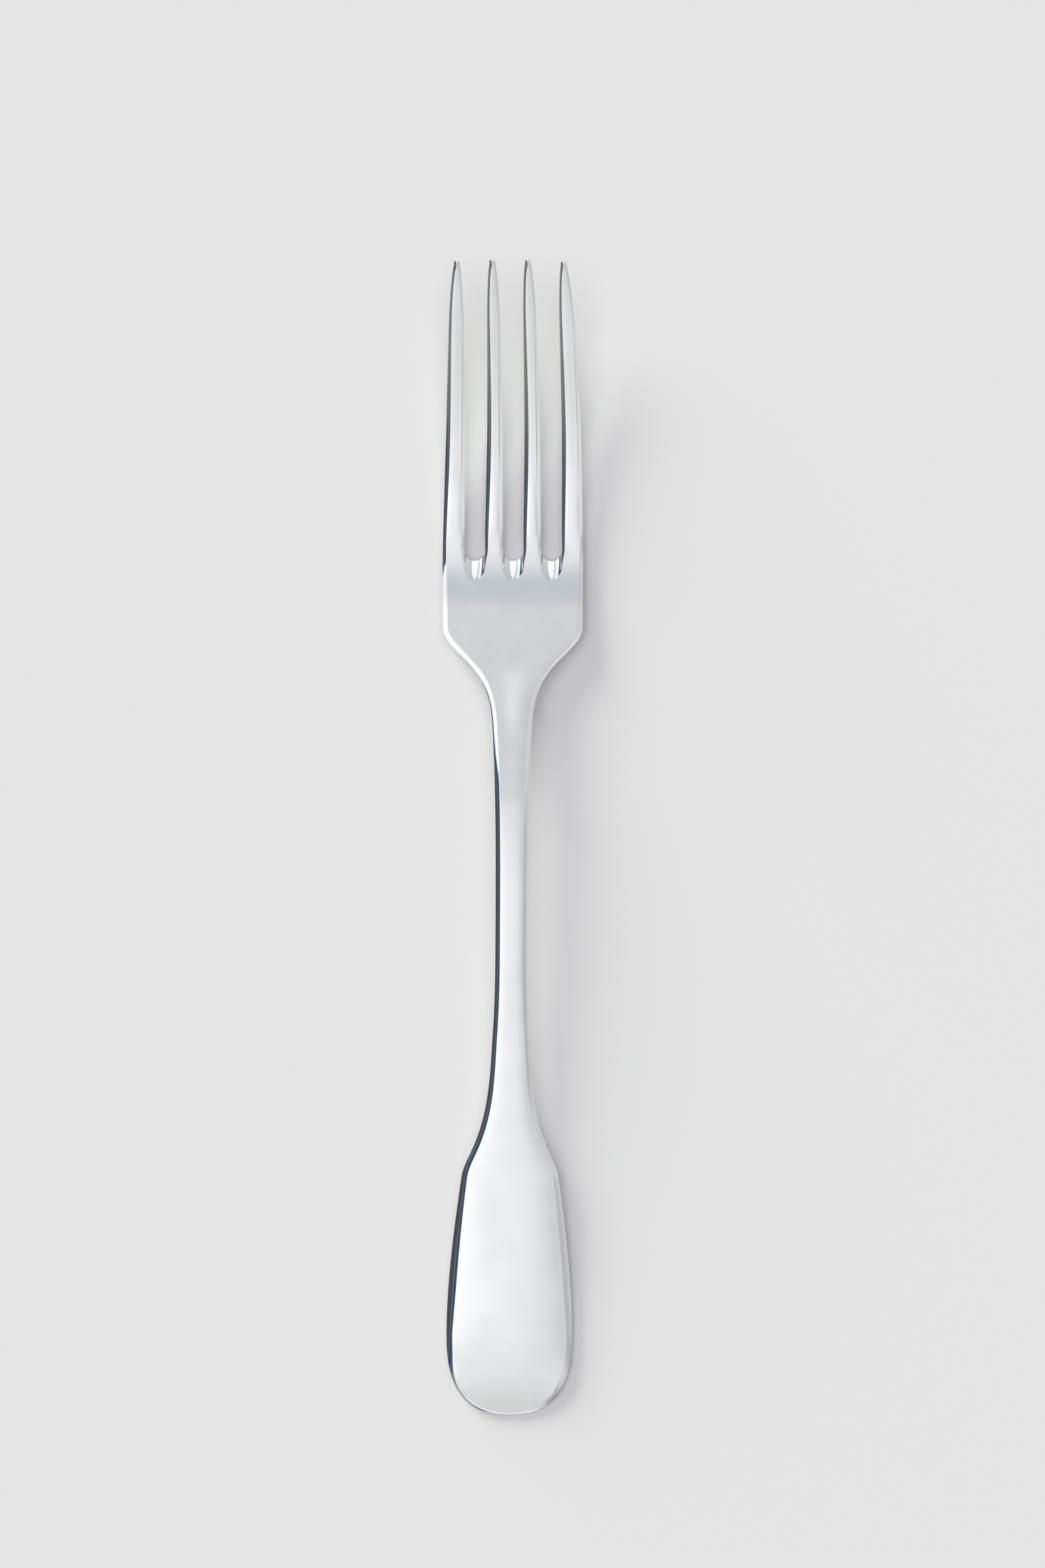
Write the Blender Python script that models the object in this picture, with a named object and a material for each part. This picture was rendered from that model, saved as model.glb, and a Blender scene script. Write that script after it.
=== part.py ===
"""Dessert fork forged in one piece, lying on a table with its tines up.

The fork is cut at cross planes into its named sections: handle, stem, head and four tines.
+Y points to the tine tips, +X to the right and +Z up, and the origin is under the middle of the fork.
"""

import math

import bmesh
import bpy
import numpy as np

MM = 0.001

# Lengths along the fork, one after another from the handle's end to the tine tips
HANDLE_END_LENGTH = 12.3 * MM
HANDLE_TAPER_LENGTH = 23.7 * MM
HANDLE_SHOULDER_LENGTH = 4.6 * MM
HANDLE_FLARE_LENGTH = 17.4 * MM
STEM_LENGTH = 46.0 * MM
NECK_LENGTH = 9.3 * MM
HEAD_SHOULDER_LENGTH = 5.8 * MM
HEAD_SIDE_LENGTH = 13.4 * MM
TINE_LENGTH = 42.5 * MM
TINE_POINT_LENGTH = 10.0 * MM
TINE_NOSE_LENGTH = 0.8 * MM
OUTER_TINE_SETBACK = 0.2 * MM

# Widths of the outline
HANDLE_WIDTH = 19.0 * MM
HANDLE_SHOULDER_WIDTH = 14.7 * MM
HANDLE_FLARE_WIDTH = 11.15 * MM
HANDLE_NECK_WIDTH = 5.4 * MM
STEM_WIDTH = 4.75 * MM
NECK_WIDTH = 5.95 * MM
HEAD_THROAT_WIDTH = 12.4 * MM
HEAD_WIDTH = 21.2 * MM
TINE_SPAN = 17.7 * MM

# Slopes of the outline and of the side profile, as rise over run
HANDLE_TAPER = -0.14
HANDLE_SHOULDER_SLOPE = -0.43
HANDLE_NECK_SLOPE = -0.065
NECK_SLOPE = 0.06
HEAD_THROAT_SLOPE = 0.85
HEAD_SIDE_SLOPE = -0.02
TINE_SIDE_SLOPE = -0.075
HANDLE_RISE = 0.065
TINE_RISE = 0.33
HANDLE_END_SWELL = 0.25
CROWN_SLOPE = 0.12
HEAD_CROWN_SLOPE = 0.02
BAND_SLOPE = 0.72
NECK_BAND_SLOPE = 0.34
HEAD_BAND_SLOPE = 0.26
TINE_BAND_SLOPE = 0.75

# Slots between the tines, at their closed ends and at the tips
SLOT_PITCH = 5.81 * MM
SLOT_WIDTH = 3.07 * MM
TIP_SLOT_PITCH = 5.36 * MM
TIP_SLOT_WIDTH = 3.62 * MM
SLOT_DEPTH_IN_HEAD = 3.25 * MM
SLOT_SCOOP_LENGTH = 2.75 * MM
SLOT_SCOOP_DEPTH = 1.3 * MM

# Heights of the underside above the table, and how far its two resting places reach below it and are flattened
HANDLE_TURN_DOWN = 0.95 * MM
ARCH_HEIGHT = 4.2 * MM
ARCH_FROM_HANDLE = 34.5 * MM
HEEL_WEAR = 0.2 * MM
HEEL_FROM_SLOTS = 2.5 * MM
TIP_HEIGHT = 12.0 * MM

# Thickness of the metal on the centre line
HANDLE_END_THICKNESS = 1.8 * MM
HANDLE_THICKNESS = 2.7 * MM
STEM_THICKNESS = 3.8 * MM
HEAD_THICKNESS = 3.0 * MM
TINE_TIP_THICKNESS = 1.3 * MM

# Cross-section: crowned top face, sloping band along its edge, upright wall, rounded underside
TINE_CROWN = 0.065 * MM
HANDLE_END_BAND = 0.3 * MM
HANDLE_BAND = 1.1 * MM
FLARE_BAND = 0.85 * MM
STEM_BAND = 0.72 * MM
HEAD_BAND = 0.8 * MM
TINE_ROOT_BAND = 0.5 * MM
TINE_BAND = 0.66 * MM
TIP_BAND = 0.33 * MM
NOSE_BAND = 0.4 * MM
HANDLE_WALL = 0.8 * MM
STEM_WALL = 0.8 * MM
HEAD_WALL = 1.3 * MM
TINE_WALL = 0.7 * MM
TINE_BLEND_LENGTH = 6.0 * MM
TINE_BAND_LENGTH = 12.0 * MM
HEAD_BAND_END = 6.5 * MM
TINE_BAND_START = 1.5 * MM
HANDLE_BAND_RUN = 7.7 * MM

# Fineness of the lofts
ROW_STEP = 1.8 * MM
BEND_ROW_STEP = 0.8 * MM
HANDLE_END_TURNS = 28
TIP_TURNS = 10
SLOT_END_SIDES = 16
SHARES = np.linspace(0, 1, 6)
TINE_SHARES = np.linspace(0, 1, 4)
ROUNDNESS = 2.5
POINT_SHARPNESS = 0.35
WIDEST_TINE_BAND = 0.7
LEAN_STEP = 0.05 * MM
MERGE = 0.001 * MM
SHARP_ANGLE = 20.0

# Stations along the fork, measured from the handle's end
WIDEST_AT = HANDLE_END_LENGTH
FULL_BAND_AT = WIDEST_AT + HANDLE_BAND_RUN
SHOULDER_AT = WIDEST_AT + HANDLE_TAPER_LENGTH
FLARE_AT = SHOULDER_AT + HANDLE_SHOULDER_LENGTH
STEM_AT = FLARE_AT + HANDLE_FLARE_LENGTH
SLIMMEST_AT = STEM_AT + STEM_LENGTH / 3
ARCH_AT = STEM_AT + ARCH_FROM_HANDLE
NECK_AT = STEM_AT + STEM_LENGTH
THROAT_AT = NECK_AT + NECK_LENGTH
HEAD_AT = THROAT_AT + HEAD_SHOULDER_LENGTH
TINES_AT = HEAD_AT + HEAD_SIDE_LENGTH
HEEL_AT = TINES_AT - SLOT_DEPTH_IN_HEAD - HEEL_FROM_SLOTS
TIP_AT = TINES_AT + TINE_LENGTH

TINE_NAMES = ("outer_tine_left", "inner_tine_left", "inner_tine_right", "outer_tine_right")


def through(knots, at):
    """A cubic through (station, value, slope) knots, read at one or more stations."""
    stations, values, slopes = (np.array(column) for column in zip(*knots))
    at = np.clip(at, stations[0], stations[-1])
    left = np.clip(np.searchsorted(stations, at, side="right") - 1, 0, len(stations) - 2)
    span = stations[left + 1] - stations[left]
    s = (at - stations[left]) / span
    rise = values[left + 1] - values[left]
    bend = s * (1 - s) * ((1 - s) * (slopes[left] * span - rise) - s * (slopes[left + 1] * span - rise))
    return values[left] + rise * s + bend


def eased(knots, at):
    """A smooth line through (station, value) knots that is level at each of them."""
    return through([(station, value, 0.0) for station, value in knots], at)


def half_width(at):
    """Half the width of the outline from the handle's widest place on, slots left aside."""
    return through(
        [
            (WIDEST_AT, HANDLE_WIDTH / 2, 0.0),
            (SHOULDER_AT, HANDLE_SHOULDER_WIDTH / 2, HANDLE_TAPER),
            (FLARE_AT, HANDLE_FLARE_WIDTH / 2, HANDLE_SHOULDER_SLOPE),
            (STEM_AT, HANDLE_NECK_WIDTH / 2, HANDLE_NECK_SLOPE),
            (SLIMMEST_AT, STEM_WIDTH / 2, 0.0),
            (NECK_AT, NECK_WIDTH / 2, NECK_SLOPE),
            (THROAT_AT, HEAD_THROAT_WIDTH / 2, HEAD_THROAT_SLOPE),
            (HEAD_AT, HEAD_WIDTH / 2, 0.0),
            (TINES_AT, HEAD_WIDTH / 2, HEAD_SIDE_SLOPE),
            (TIP_AT, TINE_SPAN / 2, TINE_SIDE_SLOPE),
        ],
        at,
    )


def band_width(at):
    """Width of the sloping band, square to the outline."""
    return eased(
        [
            (0.0, HANDLE_END_BAND),
            (FULL_BAND_AT, HANDLE_BAND),
            (FLARE_AT, FLARE_BAND),
            (STEM_AT, STEM_BAND),
            (NECK_AT, STEM_BAND),
            (HEAD_AT, HEAD_BAND),
        ],
        at,
    )


def top_half_width(at):
    """Half the width of the top face: the outline drawn in by the band."""
    lean = (half_width(at + LEAN_STEP) - half_width(at)) / LEAN_STEP
    return half_width(at) - band_width(at) * np.sqrt(1 + lean**2)


def thickness(at):
    return through(
        [
            (0.0, HANDLE_END_THICKNESS, HANDLE_END_SWELL),
            (WIDEST_AT, HANDLE_THICKNESS, 0.0),
            (SHOULDER_AT, HANDLE_THICKNESS, 0.0),
            (ARCH_AT, STEM_THICKNESS, 0.0),
            (HEAD_AT, HEAD_THICKNESS, 0.0),
            (TIP_AT, TINE_TIP_THICKNESS, 0.0),
        ],
        at,
    )


def crown(at):
    """Rise of the top face from the band to the centre line, which keeps its slope beside the band even."""
    slope = eased([(0.0, 0.0), (WIDEST_AT, CROWN_SLOPE), (NECK_AT, CROWN_SLOPE), (HEAD_AT, HEAD_CROWN_SLOPE)], at)
    return slope * top_half_width(at) / 2


def wall(at):
    """Height of the upright wall between the band and the underside."""
    return eased(
        [
            (SHOULDER_AT, HANDLE_WALL),
            (STEM_AT, STEM_WALL),
            (NECK_AT, STEM_WALL),
            (HEAD_AT, HEAD_WALL),
        ],
        at,
    )


def underside(at):
    """Height of the lowest line of the metal: it dips below the table by what is flattened there."""
    return through(
        [
            (0.0, -HANDLE_TURN_DOWN, HANDLE_RISE),
            (ARCH_AT, ARCH_HEIGHT, 0.0),
            (HEEL_AT, -HEEL_WEAR, 0.0),
            (TIP_AT, TIP_HEIGHT, TINE_RISE),
        ],
        at,
    )


def band_drop(at):
    """How far the band along the outline falls from the top face to the wall: it is shallow round the head."""
    slope = eased(
        [
            (ARCH_AT, BAND_SLOPE),
            (NECK_AT, NECK_BAND_SLOPE),
            (TINES_AT - HEAD_BAND_END, HEAD_BAND_SLOPE),
            (TINES_AT - TINE_BAND_START, TINE_BAND_SLOPE),
        ],
        at,
    )
    return band_width(at) * slope


def upper(at, across, over_band):
    """Height of the upper side: across runs 0 to 1 from the centre line to the band, over_band 0 to 1 over it."""
    return underside(at) + thickness(at) - crown(at) * across**2 - band_drop(at) * over_band


def lower(at, across):
    """Height of the underside: across runs 0 to 1 from the centre line to the foot of the wall."""
    depth = thickness(at) - crown(at) - band_drop(at) - wall(at)
    return underside(at) + depth * across**2


def placed(x, at, z):
    """Section points in the fork's frame, with what would reach below the table flattened to it."""
    return np.stack([x, at - TIP_AT / 2, np.maximum(z, 0)], axis=1)


def plan_points(middle, outer, inner, shares):
    """Plan of half a section: out over the top face to the wall, then back under it to the middle."""
    over = np.outer(shares, inner)
    edge = np.array([outer, outer])
    under = np.outer(shares[-2::-1], outer)
    return (np.array(middle) + np.concatenate([over, edge, under])).T


def body_half(middle, outer, inner):
    """Half a section of the handle, stem or head, from its middle to the edge at an offset."""
    x, at = plan_points(middle, outer, inner, SHARES)
    count = len(SHARES)
    top = upper(at[:count], SHARES, 0)
    edge = upper(at[count], 1, 1)
    under = lower(at[count + 2 :], SHARES[-2::-1])
    return placed(x, at, np.concatenate([top, [edge, edge - wall(at[count])], under]))


def slot_edges(slot, at):
    """Left and right wall of slot -1, 0 or 1."""
    share = np.clip((at - TINES_AT) / TINE_LENGTH, 0, 1)
    middle = slot * (SLOT_PITCH + (TIP_SLOT_PITCH - SLOT_PITCH) * share)
    half = (SLOT_WIDTH + (TIP_SLOT_WIDTH - SLOT_WIDTH) * share) / 2
    return middle - half, middle + half


def tip_of(tine):
    """Station of a tine's tip: the outer tines stand back a little."""
    return TIP_AT - (OUTER_TINE_SETBACK if tine in (0, 3) else 0)


def tine_edges(tine, at):
    """Left and right edge of tine 0 to 3, drawn in to a slender point at the tip."""
    left = -half_width(at) if tine == 0 else slot_edges(tine - 2, at)[1]
    right = half_width(at) if tine == 3 else slot_edges(tine - 1, at)[0]
    share = np.clip((at - tip_of(tine) + TINE_POINT_LENGTH) / TINE_POINT_LENGTH, 0, 1)
    middle = (left + right) / 2
    half = (right - left) / 2 * (1 - share**2) ** POINT_SHARPNESS
    return middle - half, middle + half


def tine_band(at):
    """Width of the sloping band along a tine: slim at its root and at its tip."""
    return eased([(TINES_AT, TINE_ROOT_BAND), (TINES_AT + TINE_BAND_LENGTH, TINE_BAND), (TIP_AT, TIP_BAND)], at)


def tine_half(middle, outer, inner):
    """Half a section of a tine: it leaves the head's section and takes a crown and bands of its own."""
    x, at = plan_points(middle, outer, inner, TINE_SHARES)
    count = len(TINE_SHARES)
    face = top_half_width(at)
    across = np.minimum(np.abs(x) / face, 1)
    over_band = np.clip((np.abs(x) - face) / (half_width(at) - face), 0, 1)
    ridge = upper(at, np.minimum(np.abs(middle[0]) / face, 1), 0)
    drop = tine_band(at) * TINE_BAND_SLOPE
    top = ridge[:count] - TINE_CROWN * TINE_SHARES**2
    edge = ridge - TINE_CROWN - drop
    belly = np.maximum(thickness(at) - TINE_CROWN - drop - TINE_WALL, 0)
    under = (edge - TINE_WALL)[count + 1 :] - (belly[count + 1 :]) * (1 - TINE_SHARES[::-1] ** 2)
    own = np.concatenate([top, edge[count : count + 1], under])
    outward = np.minimum(np.abs(x) / half_width(at), 1)
    shared = np.concatenate(
        [
            upper(at, across, over_band)[: count + 1],
            lower(at, outward)[count + 1 :],
        ]
    )
    blend = eased([(TINES_AT, 0.0), (TINES_AT + TINE_BLEND_LENGTH, 1.0)], at)
    return placed(x, at, (1 - blend) * shared + blend * own)


def ring(half, middle, outer, inner):
    """Closed section square to the fork: the right half out and back, then the left half reversed."""
    right = half(middle, (outer, 0), (inner, 0))
    left = half(middle, (-outer, 0), (-inner, 0))
    return np.concatenate([right, left[-2:0:-1]])


def end_fan(half, middle, outer, inner, length, band, turns, towards):
    """Half sections swung round a middle from right to left, to a rounded end of this length."""
    angles = np.linspace(0, math.pi, turns + 1)
    wide = np.sign(np.cos(angles)) * np.abs(np.cos(angles)) ** (2 / ROUNDNESS)
    deep = towards * np.sin(angles) ** (2 / ROUNDNESS)
    outside = np.stack([outer * wide, length * deep], axis=1)
    inside = np.stack([inner * wide, (length - band) * deep], axis=1)
    return [half(middle, out, into) for out, into in zip(outside, inside)]


def rows(start, end, step):
    """Even stations between two planes, both included."""
    return np.linspace(start, end, max(3, round((end - start) / step) + 1))


def silver(name, roughness):
    material = bpy.data.materials.new(name)
    material.use_nodes = True
    shader = material.node_tree.nodes["Principled BSDF"]
    shader.inputs["Base Color"].default_value = (0.82, 0.82, 0.81, 1)
    shader.inputs["Metallic"].default_value = 1.0
    shader.inputs["Roughness"].default_value = roughness
    return material


def add_object(name, bm, collection):
    mesh = bpy.data.meshes.new(name)
    bmesh.ops.remove_doubles(bm, verts=bm.verts, dist=MERGE)
    bm.to_mesh(mesh)
    bm.free()
    obj = bpy.data.objects.new(name, mesh)
    collection.objects.link(obj)
    return obj


def add_strip(bm, lines, closed):
    """Faces between neighbouring lines of points, which may be closed into rings."""
    loops = [[bm.verts.new(point) for point in line] for line in lines]
    count = len(loops[0])
    for near, far in zip(loops, loops[1:]):
        for i in range(count if closed else count - 1):
            j = (i + 1) % count
            bm.faces.new((near[i], near[j], far[j], far[i]))
    return loops


def loft(name, rings, collection, roughness, first_fan=(), last_fan=()):
    """Solid through closed rings, each end closed by a flat cap or by the fan of a rounded end."""
    bm = bmesh.new()
    loops = add_strip(bm, rings, closed=True)
    if first_fan:
        add_strip(bm, first_fan[::-1], closed=False)
    else:
        bm.faces.new(reversed(loops[0]))
    if last_fan:
        add_strip(bm, last_fan, closed=False)
    else:
        bm.faces.new(loops[-1])
    obj = add_object(name, bm, collection)
    obj.data.materials.append(silver(name + "_silver", roughness))
    obj.data.shade_smooth()
    obj.data.set_sharp_from_angle(angle=math.radians(SHARP_ANGLE))
    return obj


def body_rings(stations):
    return [ring(body_half, (0, at), half_width(at), top_half_width(at)) for at in stations]


def add_handle(collection):
    stations = np.concatenate(
        [
            rows(WIDEST_AT, SHOULDER_AT, ROW_STEP),
            rows(SHOULDER_AT, FLARE_AT, BEND_ROW_STEP),
            rows(FLARE_AT, STEM_AT, ROW_STEP),
        ]
    )
    outer = half_width(WIDEST_AT)
    inner = top_half_width(WIDEST_AT)
    length = HANDLE_END_LENGTH
    fan = end_fan(body_half, (0, WIDEST_AT), outer, inner, length, HANDLE_END_BAND, HANDLE_END_TURNS, -1)
    return loft("handle", body_rings(np.unique(stations)), collection, 0.16, first_fan=fan)


def add_stem(collection):
    return loft("stem", body_rings(rows(STEM_AT, NECK_AT, ROW_STEP)), collection, 0.13)


def add_head(collection, cutters):
    bend = rows(NECK_AT, HEAD_AT, BEND_ROW_STEP)
    side = rows(HEAD_AT, TINES_AT, ROW_STEP)
    head = loft("head", body_rings(np.unique(np.concatenate([bend, side]))), collection, 0.12)
    for slot in (-1, 0, 1):
        modifier = head.modifiers.new(f"slot_{slot + 2}", "BOOLEAN")
        modifier.operation = "DIFFERENCE"
        modifier.solver = "EXACT"
        modifier.object = add_slot_cutter(slot, cutters)
    return head


def add_slot_cutter(slot, collection):
    """Slot with a round closed end, upright below and scooped back towards the handle at the top."""
    left, right = slot_edges(slot, TINES_AT)
    middle = (left + right) / 2
    radius = (right - left) / 2
    end_at = TINES_AT - SLOT_DEPTH_IN_HEAD
    centre_y = end_at + radius - TIP_AT / 2
    front_y = TIP_AT / 2
    turns = np.linspace(math.pi, 2 * math.pi, SLOT_END_SIDES + 1)
    outline = [(middle + radius * math.cos(a), centre_y + radius * math.sin(a)) for a in turns]
    outline += [(right, front_y), (left, front_y)]
    low = -HEAD_THICKNESS
    scoop_z = upper(end_at - SLOT_SCOOP_LENGTH, 0, 0) - SLOT_SCOOP_DEPTH
    clear = SLOT_SCOOP_DEPTH + HEAD_THICKNESS
    back = clear * SLOT_SCOOP_LENGTH / SLOT_SCOOP_DEPTH
    levels = ((0, low), (0, scoop_z), (-back, scoop_z + clear))
    bm = bmesh.new()
    loops = add_strip(bm, [[(x, y + shift, z) for x, y in outline] for shift, z in levels], closed=True)
    bm.faces.new(loops[0])
    bm.faces.new(loops[-1])
    bmesh.ops.recalc_face_normals(bm, faces=bm.faces)
    cutter = add_object(f"slot_cutter_{slot + 2}", bm, collection)
    cutter.hide_render = True
    cutter.display_type = "WIRE"
    return cutter


def add_tine(tine, collection):
    nose_at = tip_of(tine) - TINE_NOSE_LENGTH
    point_at = tip_of(tine) - TINE_POINT_LENGTH

    def section(at):
        left, right = tine_edges(tine, at)
        outer = (right - left) / 2
        return ((left + right) / 2, at), outer, outer - min(tine_band(at), WIDEST_TINE_BAND * outer)

    stations = np.concatenate([rows(TINES_AT, point_at, ROW_STEP), rows(point_at, nose_at, BEND_ROW_STEP)])
    rings = [ring(tine_half, *section(at)) for at in np.unique(stations)]
    fan = end_fan(tine_half, *section(nose_at), TINE_NOSE_LENGTH, NOSE_BAND, TIP_TURNS, 1)
    return loft(TINE_NAMES[tine], rings, collection, 0.14, last_fan=fan)


def new_collection(name):
    collection = bpy.data.collections.new(name)
    bpy.context.scene.collection.children.link(collection)
    return collection


def main():
    for old in list(bpy.data.objects):
        bpy.data.objects.remove(old)
    fork = new_collection("dessert_fork")
    cutters = new_collection("cutters")
    sections = [add_handle(fork), add_stem(fork), add_head(fork, cutters)]
    sections += [add_tine(tine, fork) for tine in range(len(TINE_NAMES))]
    forging = bpy.data.objects.new("forging", None)
    fork.objects.link(forging)
    for obj in sections:
        obj.parent = forging


main()
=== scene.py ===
# %% [markdown]
# # A dessert fork in polished silver
# The fork is one forging: a flat blank, cut to outline, pierced between the tines, bent in a die and
# polished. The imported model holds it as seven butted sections, which is right for physics, but a mirror
# finish shows every facet and seam. So this lesson lays one unbroken skin over all seven. The skin is
# worked out with numpy from the same lines as the sections, and not modelled by hand, because a mirror
# needs lines that are smooth to a hundredth of a millimetre.

# %% Load the frame
import math

import bmesh
import bpy
import numpy as np
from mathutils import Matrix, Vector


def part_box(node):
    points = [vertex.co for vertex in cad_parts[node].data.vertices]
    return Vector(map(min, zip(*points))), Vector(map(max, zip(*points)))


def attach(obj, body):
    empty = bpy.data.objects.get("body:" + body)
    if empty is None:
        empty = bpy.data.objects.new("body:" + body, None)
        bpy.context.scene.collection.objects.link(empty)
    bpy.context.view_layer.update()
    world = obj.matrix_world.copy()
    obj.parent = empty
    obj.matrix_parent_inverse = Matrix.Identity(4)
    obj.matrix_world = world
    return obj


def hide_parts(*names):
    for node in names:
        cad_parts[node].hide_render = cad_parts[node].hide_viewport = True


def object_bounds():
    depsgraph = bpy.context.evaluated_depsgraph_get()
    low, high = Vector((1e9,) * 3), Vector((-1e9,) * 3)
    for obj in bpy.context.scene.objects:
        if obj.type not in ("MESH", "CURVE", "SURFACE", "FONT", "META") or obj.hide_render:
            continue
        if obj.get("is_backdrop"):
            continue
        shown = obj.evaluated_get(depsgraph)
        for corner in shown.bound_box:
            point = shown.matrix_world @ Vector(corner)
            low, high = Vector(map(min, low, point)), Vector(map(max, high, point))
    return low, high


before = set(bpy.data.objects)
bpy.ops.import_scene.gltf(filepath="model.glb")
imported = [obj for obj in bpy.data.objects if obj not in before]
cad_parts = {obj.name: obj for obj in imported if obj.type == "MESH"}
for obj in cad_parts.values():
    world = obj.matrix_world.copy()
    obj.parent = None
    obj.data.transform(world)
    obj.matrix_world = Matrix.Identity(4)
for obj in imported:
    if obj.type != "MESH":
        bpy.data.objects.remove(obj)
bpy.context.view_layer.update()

print("frame:", ", ".join(sorted(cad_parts)))

# %% [markdown]
# ## Stations along the fork
# A cutler measures a fork from the end of its handle. The sections of the frame give the main stations
# and the rest are repeated from the part's source, so that the skin lies where the solids lie. All
# lengths are written in millimetres and turned to metres once, by MM.

# %% Stations
MM = 0.001

END_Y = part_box("handle")[0][1]
STEM_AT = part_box("handle")[1][1] - END_Y
NECK_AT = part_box("stem")[1][1] - END_Y
TINES_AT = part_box("head")[1][1] - END_Y
TIP_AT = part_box("inner_tine_left")[1][1] - END_Y

WIDEST_AT = 12.3 * MM
SHOULDER_AT = 36.0 * MM
FLARE_AT = 40.6 * MM
ARCH_AT = STEM_AT + 34.5 * MM
THROAT_AT = NECK_AT + 9.3 * MM
HEAD_AT = THROAT_AT + 5.8 * MM
SLOT_DEPTH_IN_HEAD = 3.25 * MM
HEEL_AT = TINES_AT - SLOT_DEPTH_IN_HEAD - 2.5 * MM

print(f"fork {TIP_AT / MM:.1f} mm long, stem from {STEM_AT / MM:.1f} to {NECK_AT / MM:.1f} mm")

# %% [markdown]
# ## Smooth lines
# The outline and the side view are smooth lines through a few knots. A Bezier curve could be drawn for
# each, but a function is easier to measure along. Each knot is a station, a value and a slope, joined by
# cubics. A mirror also shows jumps of curvature, which a cubic makes at its knots. So the lines of the
# side view are averaged over a few millimetres, as filing and mopping do.

# %% Lines through knots
FILING_REACH = 5 * MM
FILING = np.linspace(-1, 1, 9) * FILING_REACH
FILING_WEIGHT = np.cos(np.linspace(-0.45, 0.45, 9) * math.pi) ** 2
FILING_WEIGHT /= FILING_WEIGHT.sum()


def through(knots, at):
    """A cubic between each two (station, value, slope) knots, and straight on beyond the first and last."""
    stations, values, slopes = (np.array(column) for column in zip(*knots))
    inside = np.clip(at, stations[0], stations[-1])
    left = np.clip(np.searchsorted(stations, inside, side="right") - 1, 0, len(stations) - 2)
    span = stations[left + 1] - stations[left]
    s = (inside - stations[left]) / span
    rise = values[left + 1] - values[left]
    bend = s * (1 - s) * ((1 - s) * (slopes[left] * span - rise) - s * (slopes[left + 1] * span - rise))
    beyond = np.where(at > stations[-1], slopes[-1], slopes[0]) * (at - inside)
    return values[left] + rise * s + bend + beyond


def eased(knots, at):
    """A smooth line through (station, value) knots that is level at each of them."""
    return through([(station, value, 0.0) for station, value in knots], at)


def filed(line, at):
    """The line's weighted mean over 5 mm either way, which takes out sudden changes of bend."""
    return (line(np.asarray(at)[..., None] + FILING) * FILING_WEIGHT).sum(axis=-1)


print(f"filing takes the mean of {FILING.size} stations, {FILING_REACH / MM:.0f} mm either way")

# %% [markdown]
# ## The outline and its dressed edge
# Seen from above, the handle tapers to sloping shoulders and a slim stem, and the head spreads with
# square shoulders. A sloping band runs along the whole edge: it is narrow at the handle's end, widest
# along the handle's sides, and narrows again towards the tips. A Bevel modifier could make a band, but not
# one that changes its width and slope along the way, as a hand-dressed edge does.

# %% Outline
SLIMMEST_AT = STEM_AT + (NECK_AT - STEM_AT) / 3
HANDLE_WIDTH = 19.0 * MM
HANDLE_SHOULDER_WIDTH = 14.7 * MM
HANDLE_FLARE_WIDTH = 11.15 * MM
HANDLE_NECK_WIDTH = 5.4 * MM
STEM_WIDTH = 4.75 * MM
NECK_WIDTH = 5.95 * MM
HEAD_THROAT_WIDTH = 12.4 * MM
HEAD_WIDTH = 21.2 * MM
TINE_SPAN = 17.7 * MM


def half_width(at):
    """Half the width of the outline from the handle's widest place on, slots left aside."""
    return through(
        [
            (WIDEST_AT, HANDLE_WIDTH / 2, 0.0),
            (SHOULDER_AT, HANDLE_SHOULDER_WIDTH / 2, -0.14),
            (FLARE_AT, HANDLE_FLARE_WIDTH / 2, -0.43),
            (STEM_AT, HANDLE_NECK_WIDTH / 2, -0.065),
            (SLIMMEST_AT, STEM_WIDTH / 2, 0.0),
            (NECK_AT, NECK_WIDTH / 2, 0.06),
            (THROAT_AT, HEAD_THROAT_WIDTH / 2, 0.85),
            (HEAD_AT, HEAD_WIDTH / 2, 0.0),
            (TINES_AT, HEAD_WIDTH / 2, -0.02),
            (TIP_AT, TINE_SPAN / 2, -0.075),
        ],
        at,
    )


for name, at in (("handle", WIDEST_AT), ("stem", SLIMMEST_AT), ("head", TINES_AT)):
    print(f"{name} {2 * half_width(at) / MM:.2f} mm wide, {at / MM:.1f} mm from the handle's end")

# %% Width of the band
FULL_BAND_AT = 20.0 * MM
TINE_BAND_AT = TINES_AT + 12 * MM
SLOT_BAND_FROM = TINES_AT - 4.3 * MM
SLOT_BAND_AT = TINES_AT - 1.3 * MM
HANDLE_END_BAND = 0.3 * MM
HANDLE_BAND = 1.22 * MM
FLARE_BAND = 0.85 * MM
STEM_BAND = 0.72 * MM
HEAD_BAND = 0.8 * MM
SLOT_END_BAND = 0.08 * MM
SLOT_BAND = 0.5 * MM
TINE_BAND = 0.66 * MM
TIP_BAND = 0.33 * MM
LEAN_STEP = 0.05 * MM


def band_width(at):
    """Width of the sloping band along the outline, square to the edge."""
    return eased(
        [
            (0.0, HANDLE_END_BAND),
            (FULL_BAND_AT, HANDLE_BAND),
            (FLARE_AT, FLARE_BAND),
            (STEM_AT, STEM_BAND),
            (NECK_AT, STEM_BAND),
            (HEAD_AT, HEAD_BAND),
            (TINES_AT, SLOT_BAND),
            (TINE_BAND_AT, TINE_BAND),
            (TIP_AT, TIP_BAND),
        ],
        at,
    )


def slot_band(at):
    """Width of the band along a slot: it runs out to nothing round the closed end."""
    return eased(
        [
            (SLOT_BAND_FROM, SLOT_END_BAND),
            (SLOT_BAND_AT, SLOT_BAND),
            (TINE_BAND_AT, TINE_BAND),
            (TIP_AT, TIP_BAND),
        ],
        at,
    )


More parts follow.
